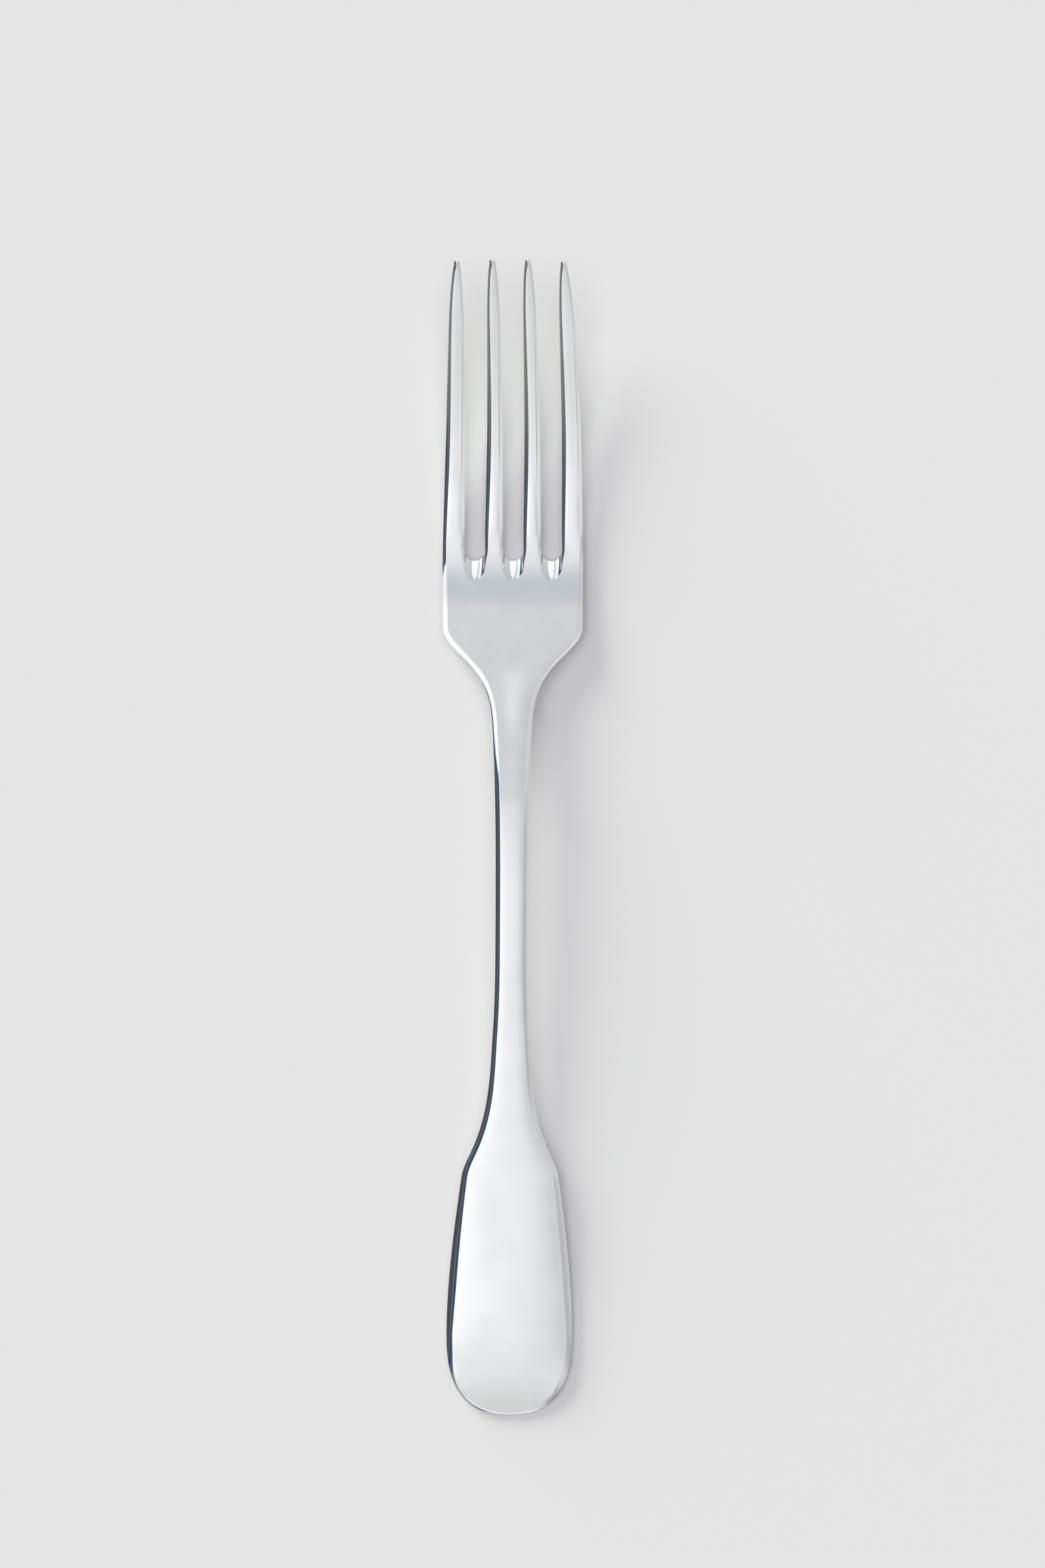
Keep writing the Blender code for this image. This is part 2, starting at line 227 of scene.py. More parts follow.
def arris(at):
    """Half the width of the top face: the outline drawn in by the band, square to the edge."""
    lean = (half_width(at + LEAN_STEP) - half_width(at)) / LEAN_STEP
    return half_width(at) - band_width(at) * np.sqrt(1 + lean**2)


print(
    f"band {band_width(FULL_BAND_AT) / MM:.2f} mm wide on the handle,",
    f"{band_width(TIP_AT) / MM:.2f} mm at the tips",
)

# %% Fall of the band
SHALLOW_UNTIL = TINES_AT - 6.5 * MM
STEEP_FROM = TINES_AT - 1.5 * MM
# Slope at the arris, slope at the edge, and the power that the slope grows with.
TINE_SLOPES = 0.5, 1.0, 1.0
# The same along the outline, each at the arch, the neck, the head and the tines.
EDGE_STARTS = 0.45, 0.25, 0.22, TINE_SLOPES[0]
EDGE_ENDS = 1.0, 0.7, 0.45, TINE_SLOPES[1]
EDGE_POWERS = 1.0, 4.0, 5.0, TINE_SLOPES[2]


def turned_over(share, band, start, end, power):
    """Fall over a share of a band whose slope goes from start to end with a power of that share."""
    return band * (start * share + (end - start) * share ** (power + 1) / (power + 1))


def edge_drop(share, at):
    """Fall over a share of the outline's band: convex, but shallow on the head until its very edge."""
    stops = ARCH_AT, NECK_AT, SHALLOW_UNTIL, STEEP_FROM
    start = eased(list(zip(stops, EDGE_STARTS)), at)
    end = eased(list(zip(stops, EDGE_ENDS)), at)
    power = eased(list(zip(stops, EDGE_POWERS)), at)
    return turned_over(share, band_width(at), start, end, power)


def slot_drop(share, at):
    """Fall over a share of the band along a slot, which is steep everywhere."""
    return turned_over(share, slot_band(at), *TINE_SLOPES)


print(f"the band falls {edge_drop(1, SHOULDER_AT) / MM:.2f} mm at the shoulders")

# %% [markdown]
# ## The side view
# From the side the fork rests on its heel and on the end of its handle, and the stem arches between
# them. The metal is thickest in the stem and thin at the tips. The top face is slightly crowned, which
# is what spreads one soft light over the whole handle. A flat blank could be bent with a Curve modifier,
# but then thickness and crown would be the same all along, so height is a function of place instead.

# %% Underside and thickness
ARCH_HEIGHT = 4.2 * MM
TIP_HEIGHT = 12.0 * MM
HANDLE_TURN_DOWN = 0.95 * MM
HEEL_WEAR = 0.2 * MM
HANDLE_RISE = 0.065
TINE_RISE = 0.33
HANDLE_END_SWELL = 0.25
END_THICKNESS = 1.8 * MM
HANDLE_THICKNESS = 2.7 * MM
STEM_THICKNESS = 3.8 * MM
HEAD_THICKNESS = 3.0 * MM
TIP_THICKNESS = 1.3 * MM


def underside_line(at):
    """Lowest line of the metal: at heel and end it dips below the table, by what use has worn flat."""
    return through(
        [
            (0.0, -HANDLE_TURN_DOWN, HANDLE_RISE),
            (ARCH_AT, ARCH_HEIGHT, 0.0),
            (HEEL_AT, -HEEL_WEAR, 0.0),
            (TIP_AT, TIP_HEIGHT, TINE_RISE),
        ],
        at,
    )


def thickness_line(at):
    """Thickness on the centre line, which swells from the end to the stem and tapers to the tips."""
    return through(
        [
            (0.0, END_THICKNESS, HANDLE_END_SWELL),
            (WIDEST_AT, HANDLE_THICKNESS, 0.0),
            (SHOULDER_AT, HANDLE_THICKNESS, 0.0),
            (ARCH_AT, STEM_THICKNESS, 0.0),
            (HEAD_AT, HEAD_THICKNESS, 0.0),
            (TIP_AT, TIP_THICKNESS, 0.0),
        ],
        at,
    )


print(
    f"{thickness_line(ARCH_AT) / MM:.1f} mm thick in the stem,",
    f"{thickness_line(TIP_AT) / MM:.1f} mm at the tips",
)

# %% Top face, wall and belly
CROWN_SLOPE = 0.12
HEAD_CROWN_SLOPE = 0.02
STEM_WALL = 0.8 * MM
HEAD_WALL = 1.3 * MM


def crown_line(at):
    """Rise of the top face from arris to centre line, which keeps the face's slope at the arris even."""
    slope = eased(
        [(0.0, 0.0), (WIDEST_AT, CROWN_SLOPE), (NECK_AT, CROWN_SLOPE), (HEAD_AT, HEAD_CROWN_SLOPE)],
        at,
    )
    return slope * arris(at) / 2


def wall(at):
    """Height of the upright wall between the band and the underside."""
    return eased([(NECK_AT, STEM_WALL), (HEAD_AT, HEAD_WALL)], at)


def face_height(x, at):
    """Height of the top face: underside plus thickness, less the crown by the square of the way out."""
    across = np.minimum(np.abs(x) / arris(at), 1)
    return filed(underside_line, at) + filed(thickness_line, at) - filed(crown_line, at) * across**2


def foot_height(at):
    """Height of the foot of the wall, under the edge."""
    return face_height(half_width(at), at) - edge_drop(1, at) - wall(at)


def belly_height(x, at):
    """Height of the underside, which rises from the centre line by the square of the way out."""
    low = filed(underside_line, at)
    return low + (foot_height(at) - low) * np.minimum(np.abs(x) / half_width(at), 1) ** 2


measured = np.array([WIDEST_AT, ARCH_AT, HEEL_AT, TIP_AT])
tops = face_height(0 * measured, measured) / MM
print("top of the metal at widest, arch, heel and tip, mm:", tops.round(2))

# %% [markdown]
# ## Grids of points
# Every patch of the skin is a grid of points worked out from two parameters. Neighbouring patches share
# the points along their common edge, so merging doubles closes the skin. Boolean cuts and a remesh would
# close it too, but leave ripples in a mirror. A narrow lip of points on each side of an arris keeps the
# arris crisp when the surface is shaded smooth.

# %% Patch helpers
LIP = 0.07 * MM
BAND_SHARES = np.array([0.0, 0.08, 0.3, 0.55, 0.8, 1.0])
SCOOP_DEPTH = 0.36
WALL_SHARES = np.array([0.0, 0.12, 0.24, SCOOP_DEPTH, 0.88, 1.0])
# Down a wall, x and y come to their ends at the scoop's depth, while z goes on evenly to the foot.
DESCENT = np.stack([np.minimum(WALL_SHARES / SCOOP_DEPTH, 1)] * 2 + [WALL_SHARES], axis=1)
patches = []


def points(x, at, z):
    """Points of the fork's frame from plan and height, worn flat where they would be under the table."""
    x, at, z = np.broadcast_arrays(x, at, z)
    return np.stack([x, at + END_Y, np.maximum(z, 0)], axis=-1)


def stations(*stops, step):
    """Even stations from stop to stop, each stop included once."""
    pieces = [np.linspace(a, b, max(2, round((b - a) / step) + 1))[:-1] for a, b in zip(stops, stops[1:])]
    return np.concatenate([*pieces, stops[-1:]])


print("points across a band:", BAND_SHARES.size, "and down a wall:", WALL_SHARES.size)

# %% [markdown]
# ## Slots and tines
# Three slots part the four tines. Their closed ends are half round below. Above they are scooped out with
# a file, which draws the half round out to a half ellipse, so that from above each end shows a bright
# scoop. The slots widen a little towards the tips while the whole head narrows, and that is what draws
# the tines out to fine points. A boolean could pierce the slots, but it leaves ragged triangles round each
# end, so the rows of the grids are led round the slots instead.

# %% Slots
SLOT_END_AT = TINES_AT - SLOT_DEPTH_IN_HEAD
SLOT_PITCH = 5.81 * MM
SLOT_WIDTH = 3.07 * MM
TIP_SLOT_PITCH = 5.36 * MM
TIP_SLOT_WIDTH = 3.62 * MM
SLOT_RADIUS = SLOT_WIDTH / 2
SCOOP_REACH = 2.75 * MM
SCOOP_STRETCH = 1.5
SLOT_SCOOP_LENGTH = SCOOP_REACH - (SCOOP_STRETCH - 1) * SLOT_RADIUS
SLOT_CENTRE_BELOW = SLOT_END_AT + SLOT_RADIUS
SLOT_CENTRE_ABOVE = SLOT_CENTRE_BELOW - SLOT_SCOOP_LENGTH
SCOOP_END_AT = SLOT_CENTRE_ABOVE - SCOOP_STRETCH * SLOT_RADIUS
SLOT_TURN = np.linspace(-0.5, 0.5, 25) * math.pi


def slot_edges(slot, at):
    """Left and right wall of slot -1, 0 or 1: pitch and width change evenly from head to tips."""
    share = np.clip((at - TINES_AT) / (TIP_AT - TINES_AT), 0, 1)
    middle = slot * (SLOT_PITCH + (TIP_SLOT_PITCH - SLOT_PITCH) * share)
    half = (SLOT_WIDTH + (TIP_SLOT_WIDTH - SLOT_WIDTH) * share) / 2
    return middle - half, middle + half


print(
    f"slots end {SLOT_END_AT / MM:.2f} mm from the handle's end below and",
    f"{SCOOP_END_AT / MM:.2f} mm above",
)

# %% Tines between the slots
OUTER_TINE_SETBACK = 0.2 * MM
POINT_LENGTH = 10.0 * MM
POINT_POWER = 0.35


def tip_of(tine):
    """Station of a tine's tip: the outer tines stand back a little."""
    return TIP_AT - (OUTER_TINE_SETBACK if tine in (0, 3) else 0)


def tine_edges(tine, at):
    """Left and right edge of tine 0 to 3: between slots or outline, drawn in to a slender point."""
    left = -half_width(at) if tine == 0 else slot_edges(tine - 2, at)[1]
    right = half_width(at) if tine == 3 else slot_edges(tine - 1, at)[0]
    share = np.clip((at - tip_of(tine) + POINT_LENGTH) / POINT_LENGTH, 0, 1)
    middle, half = (left + right) / 2, (right - left) / 2 * (1 - share**2) ** POINT_POWER
    return middle - half, middle + half


def tine_bands(tine, at):
    """Width of the band along the left and the right edge of a tine."""
    return (
        band_width(at) if tine == 0 else slot_band(at),
        band_width(at) if tine == 3 else slot_band(at),
    )


def tine_face(tine, at, shares):
    """Plan lines of a tine's top face, from just inside its left arris to just inside its right one."""
    left, right = tine_edges(tine, at)
    left_band, right_band = tine_bands(tine, at)
    start = (left + left_band + LIP)[..., None]
    end = (right - right_band - LIP)[..., None]
    return start + (end - start) * shares


for tine in range(4):
    left, right = tine_edges(tine, np.array(TINES_AT))
    print(f"tine {tine} leaves the head {(right - left) / MM:.2f} mm wide")

# %% [markdown]
# ## Handle, stem and head
# The top, the two banded sides and the underside are four long grids, one row for each station. Near
# the slots the rows bend round the closed ends: each column runs on to its own end, which is the start
# of a tine or a point on the round of a slot. One grid for each side has far fewer seams than one for
# each section, and so fewer places where a reflection could break.

# %% Columns of the body
FACE_SHARES = np.linspace(0, 1, 9)
BEND_AT = SCOOP_END_AT - 3.2 * MM
ROW_STEP = 0.62 * MM
ROWS = stations(WIDEST_AT, SHOULDER_AT, FLARE_AT, STEM_AT, NECK_AT, HEAD_AT, BEND_AT, step=ROW_STEP)
RUN_IN = 1 - (1 - np.linspace(0, 1, 13)[1:]) ** 1.4


def fork_columns(face, radius, centre, stretch):
    """Plan of the columns where tines and slots begin: face columns, then half ellipses between them."""
    x, ends = [], []
    for tine in range(4):
        columns = face(tine)
        x.append(columns)
        ends.append(np.full(columns.shape, centre))
        if tine < 3:
            middle = np.mean(slot_edges(tine - 1, centre))
            x.append(middle + radius * np.sin(SLOT_TURN[1:-1]))
            ends.append(centre - stretch * radius * np.cos(SLOT_TURN[1:-1]))
    return np.concatenate(x), np.concatenate(ends)


def long_grid(x_shares, ends, width):
    """Plan of columns that keep their share of the width, in rows that run in to each column's end."""
    run_in = BEND_AT + RUN_IN[:, None] * (ends - BEND_AT)
    at = np.concatenate([np.repeat(ROWS[:, None], ends.size, axis=1), run_in])
    return x_shares * width(at), at


print(f"{ROWS.size} rows, {ROW_STEP / MM:.2f} mm apart, and {RUN_IN.size} that run in to the slots")

# %% Top face and underside
def inner_face(at):
    """Half the width of the top face up to the lip of its arris."""
    return arris(at) - LIP


above = np.array(SLOT_CENTRE_ABOVE)
below = np.array(SLOT_CENTRE_BELOW)
lip_radius = SLOT_RADIUS + slot_band(above) + LIP
TOP_X, TOP_ENDS = fork_columns(
    lambda tine: tine_face(tine, above, FACE_SHARES), lip_radius, SLOT_CENTRE_ABOVE, SCOOP_STRETCH
)
top_x, top_at = long_grid(TOP_X / inner_face(above), TOP_ENDS, inner_face)
top = points(top_x, top_at, face_height(top_x, top_at))
patches.append(top)


def tine_floor(tine):
    """Plan lines of a tine's underside where it leaves the head, from edge to edge."""
    left, right = tine_edges(tine, below)
    return left + (right - left) * FACE_SHARES


BELOW_X, BELOW_ENDS = fork_columns(tine_floor, SLOT_RADIUS, SLOT_CENTRE_BELOW, 1.0)
below_x, below_at = long_grid(BELOW_X / half_width(below), BELOW_ENDS, half_width)
bottom = points(below_x, below_at, belly_height(below_x, below_at))
patches.append(bottom)
print("top and underside patches:", [patch.shape[:2] for patch in patches])

# %% Banded sides
wall_ends = SLOT_CENTRE_ABOVE + DESCENT[:, 1] * SLOT_SCOOP_LENGTH
side_ends = np.concatenate([np.full(1 + BAND_SHARES.size, SLOT_CENTRE_ABOVE), wall_ends[1:]])
_, side_at = long_grid(np.ones(side_ends.size), side_ends, half_width)
band_at, wall_at = np.split(side_at, [1 + BAND_SHARES.size], axis=1)
band_shares = np.concatenate([[0.0], BAND_SHARES])
band_x = arris(band_at) + band_shares * (half_width(band_at) - arris(band_at))
band_x[:, 0] -= LIP
band_z = face_height(band_x, band_at) - edge_drop(band_shares, band_at)
foot_at = wall_at[:, -1:]
side = points(band_x, band_at, band_z)
foot = points(half_width(foot_at), foot_at, belly_height(half_width(foot_at), foot_at))
upright = side[:, -1:] + (foot - side[:, -1:]) * DESCENT[1:]
right_side = np.concatenate([side, upright], axis=1)
patches += [right_side, right_side * (-1, 1, 1)]
print("side patches:", [patch.shape[:2] for patch in patches[-2:]])

# %% [markdown]
# ## The rounded end of the handle
# The end is nearly a half circle, a little squarer. Half of the section at the widest place is swung
# round from right to left while its reach changes from the half width to the length of the end. Spin
# could only swing it round a true circle.

# %% Plan of the handle's end
ROUNDNESS = 2.5
END_TURN = np.linspace(0, math.pi, 97)
END_WIDE = np.sign(np.cos(END_TURN)) * np.abs(np.cos(END_TURN)) ** (2 / ROUNDNESS)
END_DEEP = np.sin(END_TURN) ** (2 / ROUNDNESS)
ON_CENTRE = -1e-9


def swung(outer, inner, length, band):
    """Offsets of edge and arris from the middle of a rounded end: superellipses from right to left."""
    edge = np.stack([outer * END_WIDE, length * END_DEEP], axis=-1)
    inside = np.stack([inner * END_WIDE, (length - band) * END_DEEP], axis=-1)
    return edge[:, None], inside[:, None]


edge, inside = swung(half_width(WIDEST_AT), arris(WIDEST_AT), WIDEST_AT, HANDLE_END_BAND)
lip = inside * (1 - LIP / arris(WIDEST_AT))
centre = TOP_X[TOP_X >= ON_CENTRE]
centre_shares = (centre / TOP_X[-1])[:, None]
face_xy = lip * centre_shares
band_xy = inside + (edge - inside) * BAND_SHARES[:, None]
floor_shares = np.sort(BELOW_X[BELOW_X >= ON_CENTRE])[::-1, None] / BELOW_X[-1]
floor_xy = edge * floor_shares
wall_xy = edge * np.ones((WALL_SHARES.size - 2, 1))
end_xy = np.concatenate([face_xy, band_xy, wall_xy, floor_xy], axis=1)
print("handle end plan:", end_xy.shape[:2])

# %% Heights of the handle's end
face_at, band_at, floor_at = (WIDEST_AT - xy[..., 1] for xy in (face_xy, band_xy, floor_xy))
way_out = centre_shares[:, 0] * (1 - LIP / arris(WIDEST_AT))
ridge = filed(underside_line, face_at) + filed(thickness_line, face_at)
end_top = ridge - filed(crown_line, face_at) * way_out**2
band_top = filed(underside_line, band_at) + filed(thickness_line, band_at) - filed(crown_line, band_at)
end_band = band_top - edge_drop(BAND_SHARES, band_at)
low = filed(underside_line, floor_at)
edge_low = low[:, :1]
end_foot = end_band[:, -1:] - wall(WIDEST_AT)
end_floor = low + (end_foot - edge_low) * floor_shares[:, 0] ** 2
end_wall = end_band[:, -1:] + (end_floor[:, :1] - end_band[:, -1:]) * WALL_SHARES[1:-1]
end_z = np.concatenate([end_top, end_band, end_wall, end_floor], axis=1)
patches.append(points(end_xy[..., 0], WIDEST_AT - end_xy[..., 1], end_z))
print("handle end patch:", patches[-1].shape[:2])

# %% [markdown]
# ## Tines
# Each tine is a tube of sections that follow it to the tip. It leaves the head with the head's flat
# section and takes on a crown and a round belly of its own. Its first section leans like the slot's
# scoop: the top starts nearer to the handle than the underside. A curve with a bevel and a taper would
# give a tine more quickly, but with the same section from root to tip.

# %% Heights of a tine
OWN_LENGTH = 6 * MM
TINE_CROWN = 0.065 * MM
TINE_WALL = 0.7 * MM


def tine_ridge(tine, at):
    """Height of the head's top face over the middle of a tine."""
    left, right = tine_edges(tine, at)
    return face_height((left + right) / 2, at)


def own_section(at, root):
    """Share of a tine's own section against the head's: none at its root, all of it a little further on."""
    return eased([(root, 0.0), (root + OWN_LENGTH, 1.0)], at)


def tine_top(tine, x, at, across):
    """Height of a tine's top: the head's face, turning into the ridge less a crown across the tine."""
    own = tine_ridge(tine, at) - TINE_CROWN * across**2
    return face_height(x, at) + own_section(at, SLOT_CENTRE_ABOVE) * (own - face_height(x, at))


def tine_belly(tine, x, at, across):
    """Height of a tine's underside: the head's, turning into a round belly under the tine's own wall."""
    ridge = tine_ridge(tine, at)
    deep = filed(thickness_line, at)
    rise = np.maximum(deep - TINE_CROWN - slot_drop(1, at) - TINE_WALL, 0)
    own = ridge - deep + rise * across**2
    return belly_height(x, at) + own_section(at, SLOT_CENTRE_BELOW) * (own - belly_height(x, at))


print(f"a tine has its own section {OWN_LENGTH / MM:.0f} mm from its root")

# %% Tine rings
NOSE_LENGTH = 0.8 * MM
GENTLE_SLOPES = 0.22, 0.40, 1.0
GENTLE_UNTIL = TIP_AT - 14 * MM
STEEP_AGAIN_AT = TIP_AT - 3 * MM
TINE_ROWS = 1 - (1 - np.linspace(0, 1, 91)) ** 1.25


def right_drop(tine, share, at):
    """Fall over a share of a tine's right band: as on the left at root and tip, but gentler in between."""
    steep = (edge_drop if tine == 3 else slot_drop)(share, at)
    gentle = turned_over(share, tine_bands(tine, at)[1], *GENTLE_SLOPES)
    stops = SLOT_CENTRE_ABOVE, SLOT_CENTRE_ABOVE + OWN_LENGTH, GENTLE_UNTIL, STEEP_AGAIN_AT
    return steep + eased(list(zip(stops, (0.0, 1.0, 1.0, 0.0))), at) * (gentle - steep)


def tine_ring(tine, top_at, low_at):
    """Closed sections of a tine, row by row: over the top from left to right, down, back under, up."""
    left, right = (edge[:, None] for edge in tine_edges(tine, top_at))
    left_band, right_band = (band[:, None] for band in tine_bands(tine, top_at))
    up = BAND_SHARES[::-1]
    left_x, right_x = left + left_band * (1 - up), right - right_band * (1 - BAND_SHARES)
    x = np.concatenate([left_x, tine_face(tine, top_at, FACE_SHARES), right_x], axis=1)
    at = np.repeat(top_at[:, None], x.shape[1], axis=1)
    start, end = left + left_band, right - right_band
    across = np.clip((2 * x - start - end) / (end - start), -1, 1)
    z = tine_top(tine, x, at, across)
    z[:, : up.size] -= (edge_drop if tine == 0 else slot_drop)(up, top_at[:, None])
    z[:, -up.size :] -= right_drop(tine, BAND_SHARES, top_at[:, None])
    low_left, low_right = (edge[:, None] for edge in tine_edges(tine, low_at))
    floor_x = low_right + (low_left - low_right) * FACE_SHARES
    floor_at = np.repeat(low_at[:, None], floor_x.shape[1], axis=1)
    floor_z = tine_belly(tine, floor_x, floor_at, 1 - 2 * FACE_SHARES)
    over, under = points(x, at, z), points(floor_x, floor_at, floor_z)
    right_wall = over[:, -1:] + (under[:, :1] - over[:, -1:]) * DESCENT[1:-1]
    left_wall = over[:, :1] + (under[:, -1:] - over[:, :1]) * DESCENT[-2:0:-1]
    return np.concatenate([over, right_wall, under, left_wall, over[:, :1]], axis=1)


for tine in range(4):
    end = tip_of(tine) - NOSE_LENGTH
    top_at = SLOT_CENTRE_ABOVE + TINE_ROWS * (end - SLOT_CENTRE_ABOVE)
    low_at = SLOT_CENTRE_BELOW + TINE_ROWS * (end - SLOT_CENTRE_BELOW)
    patches.append(tine_ring(tine, top_at, low_at))
print("tine patches:", patches[-1].shape[:2])

# %% [markdown]
# ## Tips and slot ends
# A tip is closed like the handle's end: half of the last section is swung round its middle. Filling the
# last ring with one face would be quicker, but would look sawn off. A slot's end is a strip from the lip of
# the arris over the band, then down the scoop and its wall to the underside. It takes its first and last
# points from the top and the underside, so that it fits without a gap.

# %% Tips
NOSE_BAND = 0.4 * MM
TIP_TURN = slice(None, None, 4)
OVER = 2 * BAND_SHARES.size + FACE_SHARES.size
RIGHT_HALF = slice(OVER // 2, OVER + WALL_SHARES.size + FACE_SHARES.size // 2 - 1)

for tine in range(4):
    at = np.array([tip_of(tine) - NOSE_LENGTH])
    right_half = tine_ring(tine, at, at)[0, RIGHT_HALF]
    reach = right_half[:, 0] - right_half[0, 0]
    outer = reach.max()
    face_reach = outer - band_width(at)[0]
    over = np.interp(reach, [0, face_reach, outer], [0, NOSE_LENGTH - NOSE_BAND, NOSE_LENGTH])
    under = reach / outer * NOSE_LENGTH
    forward = np.where(np.arange(reach.size) <= OVER // 2, over, under) * END_DEEP[TIP_TURN, None]
    rise = (tine_ridge(tine, at + MM) - tine_ridge(tine, at)) / MM
    x = right_half[0, 0] + reach * END_WIDE[TIP_TURN, None]
    patches.append(points(x, at + forward, right_half[:, 2] + rise * forward))
print("tip patches:", patches[-1].shape[:2])

# %% Slot ends
for slot in range(3):
    first = (slot + 1) * FACE_SHARES.size + slot * (SLOT_TURN.size - 2) - 1
    arc = slice(first, first + SLOT_TURN.size)
    radius = SLOT_RADIUS + slot_band(above) * (1 - BAND_SHARES[:, None])
    x = (slot - 1) * SLOT_PITCH + radius * np.sin(SLOT_TURN)
    at = SLOT_CENTRE_ABOVE - SCOOP_STRETCH * radius * np.cos(SLOT_TURN)
    band = points(x, at, face_height(x, at) - slot_drop(BAND_SHARES[:, None], above))
    scoop = band[-1] + (bottom[-1, arc] - band[-1]) * DESCENT[1:, None]
    patches.append(np.concatenate([top[-1:, arc], band, scoop]))
print("slot end patches:", patches[-1].shape[:2])

# %% [markdown]
# ## One skin
# The patches could stay meshes of their own, but smooth shading stops where a mesh stops. So they become
# one: each grid gives its quads, doubles are merged along the shared edges, and the faces are turned
# outwards. The tips lean about half a millimetre to the left and back, as tines bend in use. Edges sharper
# than the arrises, such as those between band and wall, stay sharp; everything else is shaded smooth.

# %% Points and quads
LEAN_FROM = 148 * MM
LEAN_POWER = 1.3
TIP_LEAN = np.array([-0.66, -0.45]) * MM


def grid_quads(rows, columns, first):
    """Corner numbers of the quads of a grid of points that starts at a given number."""
    number = np.arange(rows * columns).reshape(rows, columns) + first
    corners = number[:-1, :-1], number[:-1, 1:], number[1:, 1:], number[1:, :-1]
    return np.stack([corner.ravel() for corner in corners], axis=1)


firsts = np.cumsum([0] + [patch.shape[0] * patch.shape[1] for patch in patches])
skin_points = np.concatenate([patch.reshape(-1, 3) for patch in patches])
tipward = np.clip((skin_points[:, 1] - END_Y - LEAN_FROM) / (TIP_AT - LEAN_FROM), 0, 1)
skin_points[:, :2] += tipward[:, None] ** LEAN_POWER * TIP_LEAN
skin_quads = np.concatenate([grid_quads(*p.shape[:2], first) for p, first in zip(patches, firsts)])
print(f"{len(patches)} patches, {len(skin_points)} points, {len(skin_quads)} quads")

# %% Weld the skin
WELD = 0.002 * MM
SHARP = math.radians(28)

mesh = bpy.data.meshes.new("forged_skin")
mesh.from_pydata(skin_points, [], skin_quads)
bm = bmesh.new()
bm.from_mesh(mesh)
bmesh.ops.remove_doubles(bm, verts=bm.verts, dist=WELD)
bmesh.ops.dissolve_degenerate(bm, edges=bm.edges, dist=WELD / 10)
bmesh.ops.recalc_face_normals(bm, faces=bm.faces)
open_edges = sum(not edge.is_manifold for edge in bm.edges)
bm.to_mesh(mesh)
skin_volume = bm.calc_volume(signed=True)
bm.free()
mesh.shade_smooth()
mesh.set_sharp_from_angle(angle=SHARP)

forged_skin = bpy.data.objects.new("forged_skin", mesh)
bpy.context.scene.collection.objects.link(forged_skin)
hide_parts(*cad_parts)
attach(forged_skin, "root")
print(f"skin: {len(mesh.polygons)} faces, {open_edges} open edges, {skin_volume / MM**3:.0f} mm3")

# %% [markdown]
# ## Silver
# Silver is the whitest metal: it throws back nearly all light. Here it is hand-polished with rouge on a
# soft mop. The eye gets a clear mirror whose reflections waver a little, because a mop follows the metal
# and never makes it quite true. Over that lie fine lines along the fork, faint clouds where the mop
# turned, and a few hairline scratches from the drawer. One colour and one roughness would be simpler, but
# would look like chromed plastic. All patterns read the place on the fork, so they stay put when it turns.

# %% Colours and nodes
CLOUD_LOW = 0.3
CLOUD_HIGH = 0.7
SILVER_TONES = [(CLOUD_LOW, "#F5F5F5"), (CLOUD_HIGH, "#FAFAFB")]


def linear(hex_colour):
    """An sRGB hex colour as linear red, green, blue and alpha."""
    srgb = np.array([int(hex_colour[i : i + 2], 16) for i in (1, 3, 5)]) / 255
    return (*np.where(srgb <= 0.04045, srgb / 12.92, ((srgb + 0.055) / 1.055) ** 2.4), 1.0)


def add(tree, kind, inputs=None, **settings):
    """Adds a node with its settings, and sets or links its inputs, given by name or number."""
    node = tree.nodes.new(kind)
    for name, value in settings.items():
        setattr(node, name, value)
    for name, value in (inputs or {}).items():
        if isinstance(value, bpy.types.NodeSocket):
            tree.links.new(value, node.inputs[name])
        else:
            node.inputs[name].default_value = value
    return node


def set_stops(ramp, stops):
    """Gives a colour ramp its stops, each a share from 0 to 1 and a colour."""
    while len(ramp.color_ramp.elements) < len(stops):
        ramp.color_ramp.elements.new(1.0)
    for element, (share, tone) in zip(ramp.color_ramp.elements, stops):
        element.position = share
        element.color = linear(tone)


for _, tone in SILVER_TONES:
    print("silver tone", tone, "is linear", np.round(linear(tone)[:3], 3))

# %% Waver, clouds and polishing lines
WAVER_SIZE = 9 * MM
CLOUD_SIZE = 5 * MM
LINE_WIDTH = 0.16 * MM
LINE_LENGTH = 11 * MM

silver = bpy.data.materials.new("hand_polished_silver")
silver.use_nodes = True
tree = silver.node_tree
shader = tree.nodes["Principled BSDF"]
shader.inputs["Metallic"].default_value = 1.0
place = add(tree, "ShaderNodeTexCoord").outputs["Object"]

# The mop's waver: waves nine millimetres long and a hundredth of a millimetre high.
waver = add(tree, "ShaderNodeTexNoise", {"Vector": place, "Scale": 1 / WAVER_SIZE, "Detail": 1.0})
# The mop's clouds, a little more and a little less polished.
cloud = add(tree, "ShaderNodeTexNoise", {"Vector": place, "Scale": 1 / CLOUD_SIZE, "Detail": 3.0})
# Polishing lines run along the fork. Real ones are a few hundredths of a millimetre wide; these are
# coarser, so that a picture of the whole fork can still show them.
grain = (1 / LINE_WIDTH, 1 / LINE_LENGTH, 1 / LINE_WIDTH)
along = add(tree, "ShaderNodeMapping", {"Vector": place, "Scale": grain})
lines = add(tree, "ShaderNodeTexNoise", {"Vector": along.outputs[0], "Scale": 1.0, "Detail": 2.0})
print(f"{silver.name}: waver {WAVER_SIZE / MM:.0f} mm, polishing lines {LINE_WIDTH / MM:.2f} mm wide")

# %% Scratches
SCRATCH_SPACING = 7 * MM
SCRATCH_WIDTH = 0.03 * MM
SCRATCH_BEND = 0.004
WORN_FROM = 0.52
WORN_TO = 0.6

